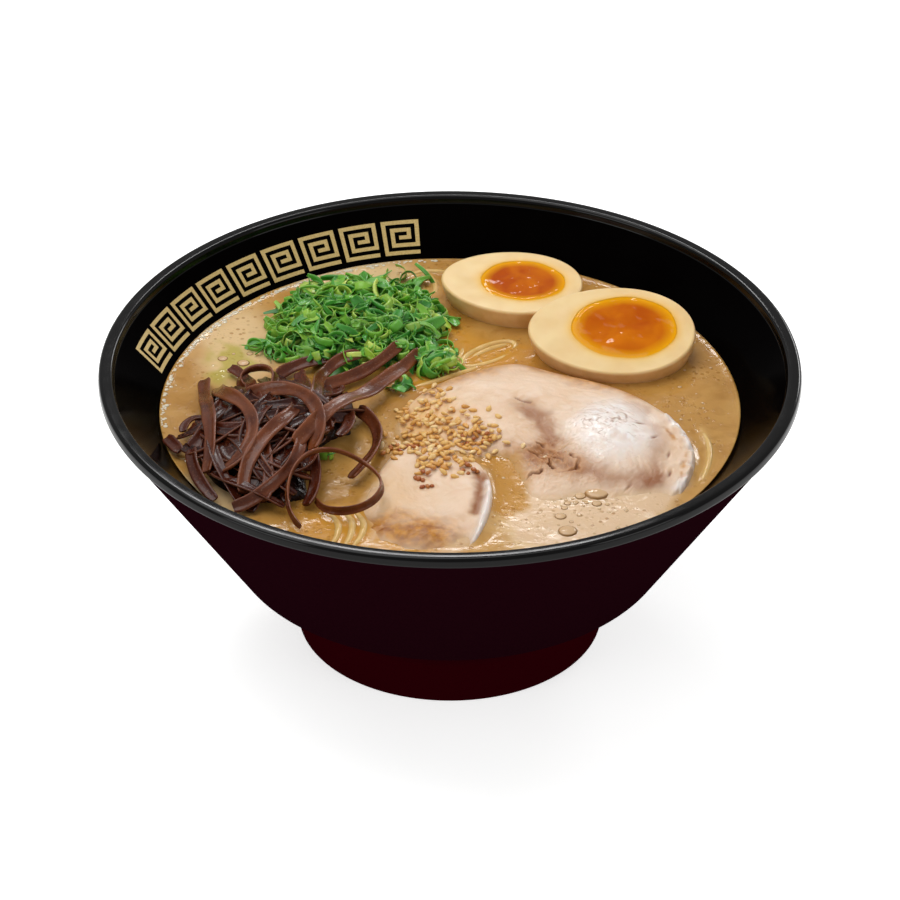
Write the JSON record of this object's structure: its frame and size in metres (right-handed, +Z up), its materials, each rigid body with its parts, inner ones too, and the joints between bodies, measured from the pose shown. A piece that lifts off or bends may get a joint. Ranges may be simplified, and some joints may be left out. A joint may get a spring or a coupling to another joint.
{
  "type": "ramen bowl",
  "caption": "Round flared bowl on a foot ring, filled with broth, noodles, egg halves, roast pork slices with sesame, wood-ear strips and sliced scallions.",
  "frame": {"origin": "centre of the foot ring's underside, which is the centre of the bottom of the bounding box", "axes": "+Z up along the bowl's axis, -Y towards the eater, +X to the eater's right"},
  "size_m": [0.23, 0.23, 0.0996],
  "materials": {
    "bowl_lacquer": "glossy black lacquer inside and on the lip, satin wine-brown outside",
    "gold_print": "pale gold print under clear lacquer",
    "broth": "creamy opaque pork broth with an oily sheen",
    "egg_white": "soft boiled egg white, lightly stained by soy marinade",
    "egg_yolk": "wet jammy yolk",
    "pork": "moist simmered pork with pale fat",
    "sesame": "toasted sesame seed",
    "wood_ear": "wet gelatinous brown fungus",
    "scallion": "fresh wet scallion rings",
    "noodle": "wet wheat noodle"
  },
  "bodies": {
    "root": {"bowl": "bowl_lacquer", "broth": "broth", "egg_front_white": "egg_white", "egg_front_yolk": "egg_yolk", "egg_back_white": "egg_white", "egg_back_yolk": "egg_yolk", "pork_large": "pork", "pork_small": "pork", "wood_ear": "wood_ear", "scallions": "scallion", "noodles": "noodle"}
  },
  "joints": []
}
